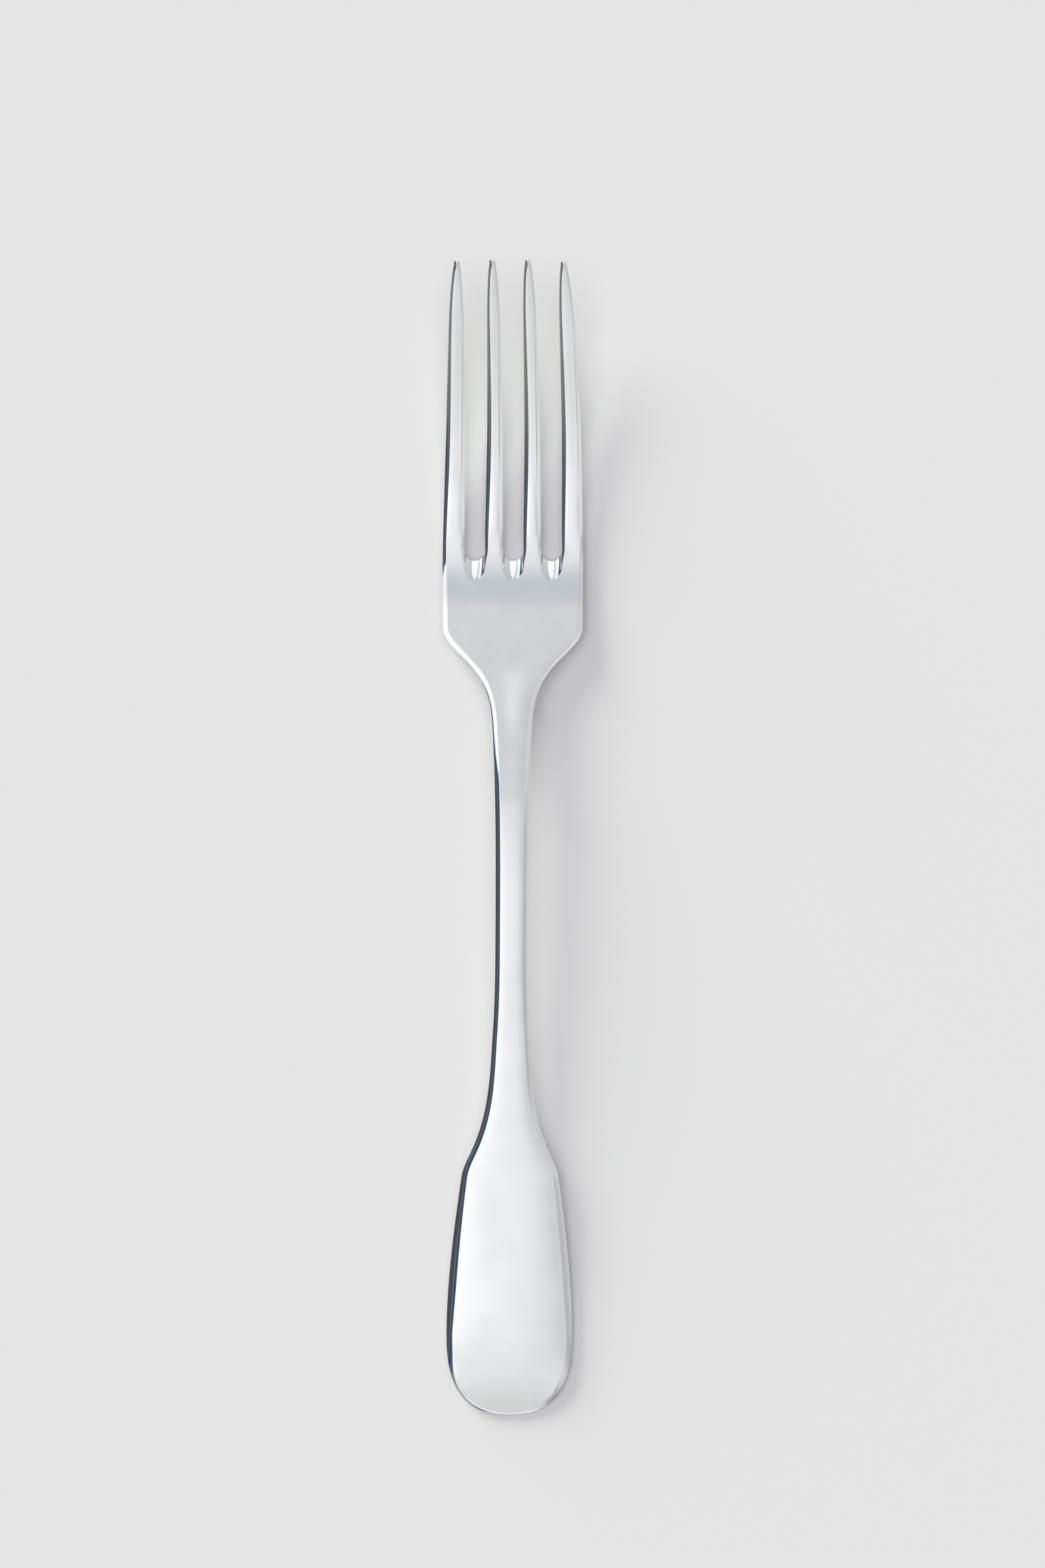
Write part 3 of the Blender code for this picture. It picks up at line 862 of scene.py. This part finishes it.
# Thin curves where the walls of wide cells meet the surface, kept only in places.
bent = add(
    tree,
    "ShaderNodeMix",
    {"Factor": SCRATCH_BEND, 4: place, 5: cloud.outputs["Color"]},
    data_type="VECTOR",
)
cells = add(
    tree,
    "ShaderNodeTexVoronoi",
    {"Vector": bent.outputs[1], "Scale": 1 / SCRATCH_SPACING},
    feature="DISTANCE_TO_EDGE",
)
near_wall = SCRATCH_WIDTH / SCRATCH_SPACING
scratch = add(
    tree,
    "ShaderNodeMapRange",
    {"Value": cells.outputs["Distance"], "From Max": near_wall, "To Min": 1.0, "To Max": 0.0},
)
worn = add(
    tree,
    "ShaderNodeMapRange",
    {"Value": waver.outputs[0], "From Min": WORN_FROM, "From Max": WORN_TO},
)
scratched = add(
    tree,
    "ShaderNodeMath",
    {0: scratch.outputs[0], 1: worn.outputs[0]},
    operation="MULTIPLY",
)
print(f"scratches {SCRATCH_WIDTH / MM:.2f} mm wide, about {SCRATCH_SPACING / MM:.0f} mm apart")

# %% Colour and painted shade
# Painted shade: stations in millimetres and the tone that the silver's colour is multiplied by, darker just
# below the slots and near the handle's end.
PAINTED_SHADE = [
    (0.0, "#F6F6F6"),
    (1.2, "#F0F0F0"),
    (8.0, "#F5F5F5"),
    (13.0, "#FBFBFB"),
    (17.0, "#FFFFFF"),
    (121.0, "#FFFFFF"),
    (124.6, "#EDF1F3"),
    (126.2, "#EDF1F3"),
    (129.5, "#FFFFFF"),
]

colour = add(tree, "ShaderNodeValToRGB", {0: cloud.outputs[0]})
set_stops(colour, SILVER_TONES)
# Painted shade, in millimetres along the fork. The silver's colour is darkened to a bluish grey just below
# the slots, which dims the reflection there, and a little near the handle's end.
lengthwise = add(tree, "ShaderNodeSeparateXYZ", {0: place}).outputs["Y"]
station = add(
    tree,
    "ShaderNodeMapRange",
    {"Value": lengthwise, "From Min": END_Y, "From Max": END_Y + TIP_AT},
)
painted_shade = add(tree, "ShaderNodeValToRGB", {0: station.outputs[0]})
painted_shade.color_ramp.interpolation = "EASE"
set_stops(painted_shade, [(at * MM / TIP_AT, tone) for at, tone in PAINTED_SHADE])
tinted = add(
    tree,
    "ShaderNodeMix",
    {"Factor": 1.0, 6: colour.outputs[0], 7: painted_shade.outputs[0]},
    data_type="RGBA",
    blend_type="MULTIPLY",
)
print("bloom is strongest", PAINTED_SHADE[6][0], "mm from the handle's end")

# %% Roughness
HAZE_LOW = 0.05
HAZE_HIGH = 0.10
LINE_HAZE = 0.06
SCRATCH_HAZE = 0.15
TIP_HAZE = 0.09
DULL_FROM = 146 * MM
DULL_TO = 160 * MM

haze = add(
    tree,
    "ShaderNodeMapRange",
    {
        "Value": cloud.outputs[0],
        "From Min": CLOUD_LOW,
        "From Max": CLOUD_HIGH,
        "To Min": HAZE_LOW,
        "To Max": HAZE_HIGH,
    },
)
drawn = add(
    tree,
    "ShaderNodeMath",
    {0: lines.outputs[0], 1: LINE_HAZE, 2: haze.outputs[0]},
    operation="MULTIPLY_ADD",
)
# The ends of the tines are dulled by use.
dull = add(
    tree,
    "ShaderNodeMapRange",
    {
        "Value": lengthwise,
        "From Min": END_Y + DULL_FROM,
        "From Max": END_Y + DULL_TO,
        "To Max": TIP_HAZE,
    },
    interpolation_type="SMOOTHSTEP",
)
used = add(tree, "ShaderNodeMath", {0: drawn.outputs[0], 1: dull.outputs[0]}, operation="ADD")
rough = add(
    tree,
    "ShaderNodeMath",
    {0: scratched.outputs[0], 1: SCRATCH_HAZE, 2: used.outputs[0]},
    operation="MULTIPLY_ADD",
)
print(f"roughness from {HAZE_LOW} up to {HAZE_HIGH + LINE_HAZE + TIP_HAZE:.2f}, more in scratches")

# %% Relief and shader
RELIEF = [
    (waver.outputs[0], 0.012 * MM, False),
    (lines.outputs[0], 0.001 * MM, False),
    (scratched.outputs[0], 0.002 * MM, True),
]

# Waver, lines and scratches each tilt the mirror a little more, and scratches are cut inwards.
tilt = {}
for height, size, inwards in RELIEF:
    relief = {"Height": height, "Strength": 1.0, "Distance": size, **tilt}
    tilt = {"Normal": add(tree, "ShaderNodeBump", relief, invert=inwards).outputs[0]}
tree.links.new(tinted.outputs[2], shader.inputs["Base Color"])
tree.links.new(rough.outputs[0], shader.inputs["Roughness"])
tree.links.new(tilt["Normal"], shader.inputs["Normal"])
mesh.materials.append(silver)
print(f"{silver.name}: {len(tree.nodes)} nodes")

# %% [markdown]
# ## The sheet
# The fork lies on a sheet of pale grey matt paper, wide enough to run out of the picture on all sides.
# Paper scatters light evenly, so one rough colour without gloss is enough for it.

# %% Floor
FLOOR_SIZE = 6.0
PAPER_ROUGHNESS = 0.9

floor_mesh = bpy.data.meshes.new("floor")
floor_corners = np.array([[-1, -1, 0], [1, -1, 0], [1, 1, 0], [-1, 1, 0]]) * FLOOR_SIZE / 2
floor_mesh.from_pydata(floor_corners, [], [(0, 1, 2, 3)])
floor = bpy.data.objects.new("floor", floor_mesh)
bpy.context.scene.collection.objects.link(floor)
paper = bpy.data.materials.new("pale_matt_paper")
paper.use_nodes = True
paper_shader = paper.node_tree.nodes["Principled BSDF"]
paper_shader.inputs["Base Color"].default_value = linear("#E6E6E6")
paper_shader.inputs["Roughness"].default_value = PAPER_ROUGHNESS
paper_shader.inputs["Specular IOR Level"].default_value = 0.0
floor_mesh.materials.append(paper)
floor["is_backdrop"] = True
print(f"floor: {FLOOR_SIZE:.0f} m of {paper.name}")

# %% [markdown]
# ## The room
# A mirror shows the room rather than itself, so the room is half of the finish. It could be built of
# panels and lamps, but a world of a few colour ramps is easier to match and has no edges to hide.
#
# Seen from the fork, the ceiling in front, over the handle, is white on the left and falls to light grey
# on the right. Low on the left is a dark wall, which draws the dark line along the left edges and wraps a
# little round the front. The ceiling behind, over the tines, is an even grey, so the neck and head, which
# lean that way, are grey all over. Further ahead the tones lie closer together, with one fine dark beam
# that draws the line along the right of each tine.

# %% Tones of the room
DARK_WALL = [
    (-1.0, "#42474D"),
    (-0.95, "#444A51"),
    (-0.93, "#6E757D"),
    (-0.90, "#33465A"),
    (-0.80, "#39526C"),
    (-0.71, "#506C8C"),
    (-0.67, "#FDFEFF"),
]
FRONT = DARK_WALL + [
    (-0.24, "#FDFEFF"),
    (-0.17, "#F1F3F5"),
    (-0.11, "#E9EBED"),
    (0.0, "#E5E7E9"),
    (0.09, "#E0E2E5"),
    (0.14, "#DBDDE0"),
    (0.176, "#D4D6D9"),
    (0.21, "#C7C9CC"),
    (0.30, "#C4C6C9"),
    (0.42, "#D7D9DB"),
    (0.56, "#D7D9DB"),
    (0.74, "#BBBCBF"),
    (0.95, "#ABADB0"),
    (1.0, "#BCBEC0"),
]
BACK = DARK_WALL + [
    (-0.38, "#FDFEFF"),
    (-0.30, "#CACED2"),
    (-0.20, "#CACDD1"),
    (0.0, "#CED0D3"),
    (0.10, "#CACCCF"),
    (0.20, "#C3C5C8"),
    (0.27, "#BBBCC0"),
    (0.40, "#CBCDCF"),
    (0.60, "#CCCDCF"),
    (1.0, "#C5C7CA"),
]
AHEAD = [
    (-1.0, "#6C6C68"),
    (-0.95, "#6E6E6A"),
    (-0.93, "#8C8C88"),
    (-0.90, "#6A6B69"),
    (-0.80, "#70736F"),
    (-0.71, "#8A8C88"),
    (-0.67, "#FDFEFF"),
    (-0.30, "#ECEDED"),
    (-0.20, "#F3F4F4"),
    (-0.10, "#ECEDED"),
    (0.0, "#E7E8E8"),
    (0.10, "#E6E7E7"),
    (0.30, "#E8E9E9"),
    (0.36, "#FDFDFD"),
    (0.40, "#FDFDFD"),
    (0.42, "#8C8D8C"),
    (0.46, "#969796"),
    (0.48, "#E0E1E1"),
    (0.58, "#DDDEDE"),
    (1.0, "#CECFCF"),
]
FALL = [
    (-1.0, "#F4F4F4"),
    (-0.75, "#E8E8E8"),
    (-0.60, "#E1E1E1"),
    (-0.52, "#EBEBEB"),
    (-0.38, "#F4F4F4"),
    (-0.25, "#FFFFFF"),
    (-0.12, "#FCFCFC"),
    (0.05, "#FFFFFF"),
    (0.10, "#FAFAFA"),
    (0.94, "#F8F8F8"),
    (0.985, "#B8B8B8"),
    (1.0, "#7C7C7C"),
]
print("room:", len(FRONT), "tones in front,", len(BACK), "behind,", len(AHEAD), "further ahead")

# %% Places in the room
WRAP = 0.86
WRAP_FROM = -0.35
LEFT_FULL = -0.3

world = bpy.data.worlds.new("studio")
bpy.context.scene.world = world
world.use_nodes = True
sky = world.node_tree
sky.nodes.clear()
direction = add(sky, "ShaderNodeTexCoord").outputs["Generated"]
parts = add(sky, "ShaderNodeSeparateXYZ", {0: direction})
lengthways = parts.outputs["Y"]
sideways = parts.outputs["X"]
lowness = add(sky, "ShaderNodeMath", {0: 1.0, 1: parts.outputs["Z"]}, operation="SUBTRACT")
in_front = add(
    sky,
    "ShaderNodeMapRange",
    {
        "Value": lengthways,
        "From Min": -1.0,
        "From Max": WRAP_FROM,
        "To Min": -1.0 - WRAP_FROM,
        "To Max": 0.0,
    },
)
corner = add(sky, "ShaderNodeMath", {0: lowness.outputs[0], 1: in_front.outputs[0]}, operation="MULTIPLY")
on_left = add(sky, "ShaderNodeMapRange", {"Value": sideways, "From Min": 0.0, "From Max": LEFT_FULL})
left_corner = add(
    sky,
    "ShaderNodeMath",
    {0: corner.outputs[0], 1: on_left.outputs[0]},
    operation="MULTIPLY",
)
# Low in front, places count as further to the left, which wraps the wall round: for the ceiling on both
# sides, and further ahead on the left alone.
wrapped, wrapped_left = (
    add(
        sky,
        "ShaderNodeMath",
        {0: bend.outputs[0], 1: WRAP, 2: sideways},
        operation="MULTIPLY_ADD",
    ).outputs[0]
    for bend in (corner, left_corner)
)
print("the wall wraps round from", WRAP_FROM, "on")

# %% Ceiling
BEHIND = -0.09, 0.07
TINEWARD = -0.22, -0.36
NOT_FAR = -0.66, -0.58

tones = []
for across_room, stops in ((wrapped, FRONT), (wrapped, BACK), (wrapped_left, AHEAD), (lengthways, FALL)):
    share = add(sky, "ShaderNodeMapRange", {"Value": across_room, "From Min": -1.0, "From Max": 1.0})
    ramp = add(sky, "ShaderNodeValToRGB", {0: share.outputs[0]})
    set_stops(ramp, [((along + 1) / 2, tone) for along, tone in stops])
    tones.append(ramp.outputs[0])
front_tone, back_tone, ahead_tone, fall_tone = tones

behind, tineward, not_far = (
    add(sky, "ShaderNodeMapRange", {"Value": lengthways, "From Min": none, "From Max": full}).outputs[0]
    for none, full in (BEHIND, TINEWARD, NOT_FAR)
)
ahead = add(sky, "ShaderNodeMath", {0: tineward, 1: not_far}, operation="MULTIPLY")
overall = add(sky, "ShaderNodeMix", {"Factor": behind, 6: front_tone, 7: back_tone}, data_type="RGBA")
ceiling = add(
    sky,
    "ShaderNodeMix",
    {"Factor": ahead.outputs[0], 6: overall.outputs[2], 7: ahead_tone},
    data_type="RGBA",
)
room = add(
    sky,
    "ShaderNodeMix",
    {"Factor": 1.0, 6: ceiling.outputs[2], 7: fall_tone},
    data_type="RGBA",
    blend_type="MULTIPLY",
)
print("ceiling:", len(sky.nodes), "nodes")

# %% [markdown]
# ## Doorway, skylight and soft light
# A dim doorway low on the right gives the metal a darker side when it is seen from behind, and a small
# skylight behind whitens the scoops at the slots' ends. The sheet isn't lit by this room, because what
# the metal shows must not stain the paper: all but mirror rays see a plain soft light overhead, and the
# lens itself sees a pale backdrop.

# %% Doorway and skylight
SPOTS = [
    ((0.68, -0.68, 0.27), 0.93, 0.99, "#78818A"),
    ((0.0, 0.64, 0.77), 0.965, 0.99, "#FDFEFF"),
]

mirrored = room.outputs[2]
for towards, rim, core, tone in SPOTS:
    facing = add(sky, "ShaderNodeVectorMath", {0: direction, 1: towards}, operation="DOT_PRODUCT")
    spot = add(
        sky,
        "ShaderNodeMapRange",
        {"Value": facing.outputs["Value"], "From Min": rim, "From Max": core},
        interpolation_type="SMOOTHSTEP",
    )
    mirrored = add(
        sky,
        "ShaderNodeMix",
        {"Factor": spot.outputs[0], 6: mirrored, 7: linear(tone)},
        data_type="RGBA",
    ).outputs[2]
    print("spot towards", towards, "in", tone)

# %% Soft light and backdrop
SOFT_TOWARDS = -0.10, 0.08, 0.99
SOFT_RIM = 0.85
SOFT_CORE = 0.99
SOFT_AROUND = 0.285, 0.280, 0.293, 1.0
SOFT_OVERHEAD = 2.60, 2.556, 2.67, 1.0
WORLD_STRENGTH = 1.12

overhead = add(sky, "ShaderNodeVectorMath", {0: direction, 1: SOFT_TOWARDS}, operation="DOT_PRODUCT")
soft = add(
    sky,
    "ShaderNodeMapRange",
    {"Value": overhead.outputs["Value"], "From Min": SOFT_RIM, "From Max": SOFT_CORE},
    interpolation_type="SMOOTHSTEP",
)
light = add(
    sky,
    "ShaderNodeMix",
    {"Factor": soft.outputs[0], 6: SOFT_AROUND, 7: SOFT_OVERHEAD},
    data_type="RGBA",
)
rays = add(sky, "ShaderNodeLightPath")
shown = add(
    sky,
    "ShaderNodeMix",
    {"Factor": rays.outputs["Is Glossy Ray"], 6: light.outputs[2], 7: mirrored},
    data_type="RGBA",
)
backdrop = add(
    sky,
    "ShaderNodeMix",
    {"Factor": rays.outputs["Is Camera Ray"], 6: shown.outputs[2], 7: linear("#E4E4E4")},
    data_type="RGBA",
)
background = add(sky, "ShaderNodeBackground", {"Color": backdrop.outputs[2], "Strength": WORLD_STRENGTH})
add(sky, "ShaderNodeOutputWorld", {"Surface": background.outputs[0]})
print(f"{world.name}: {len(sky.nodes)} nodes")

# %% [markdown]
# ## The lamp
# One large soft window lies low on the left, beyond the tines. It is so wide that only what lies close to
# the sheet, such as the handle, has a shadow with a clear edge. The raised tines leave a cloud. An area
# lamp could stand for it, but its light would fall off across the sheet. A sun with a wide angle lights
# the sheet evenly. The metal doesn't show it, because it has a room of its own.

# %% Key lamp
KEY_ELEVATION = math.radians(18)
KEY_AZIMUTH = math.radians(50)
KEY_WIDTH = math.radians(34)
KEY_ENERGY = 3.0

key_data = bpy.data.lights.new("key", "SUN")
key_data.angle = KEY_WIDTH
key_data.energy = KEY_ENERGY
key_data.color = linear("#F8FFF1")[:3]
key = bpy.data.objects.new("key", key_data)
bpy.context.scene.collection.objects.link(key)
flat = math.cos(KEY_ELEVATION)
key.location = (-flat * math.cos(KEY_AZIMUTH), flat * math.sin(KEY_AZIMUTH), math.sin(KEY_ELEVATION))
key.rotation_euler = (-key.location).to_track_quat("-Z", "Y").to_euler()
key.visible_glossy = False
print("key lamp towards", np.round(key.location, 2))

# %% [markdown]
# ## The camera
# The lens hangs straight over the fork, far enough away that nothing is drawn out of shape. A view without
# perspective would come close, but a long lens is what a photographer would take. It is turned by a trace,
# because the fork doesn't lie quite straight in the picture.

# %% Camera
IMAGE_HEIGHT = 2352
FORK_PIXELS = 1733
FRAME_HEIGHT = IMAGE_HEIGHT / FORK_PIXELS * TIP_AT
CAMERA_HEIGHT = 2.4
CAMERA_PLACE = 1.6 * MM, 8.0 * MM, CAMERA_HEIGHT
CAMERA_TURN = math.radians(0.28)
SENSOR = 36.0

camera_data = bpy.data.cameras.new("camera")
camera_data.sensor_width = SENSOR
camera_data.lens = SENSOR * CAMERA_HEIGHT / FRAME_HEIGHT
camera = bpy.data.objects.new("camera", camera_data)
bpy.context.scene.collection.objects.link(camera)
camera.location = CAMERA_PLACE
camera.rotation_euler = (0, 0, CAMERA_TURN)
bpy.context.scene.camera = camera
bpy.context.scene.view_settings.view_transform = "Standard"
print(f"camera: {camera_data.lens:.0f} mm lens at {CAMERA_HEIGHT} m")

# %% [markdown]
# ## Sizes
# Last, the box of the skin is printed, in millimetres.

# %% Sizes
low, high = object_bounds()
print("visual box, mm:", (np.array(high) - np.array(low)) / MM)
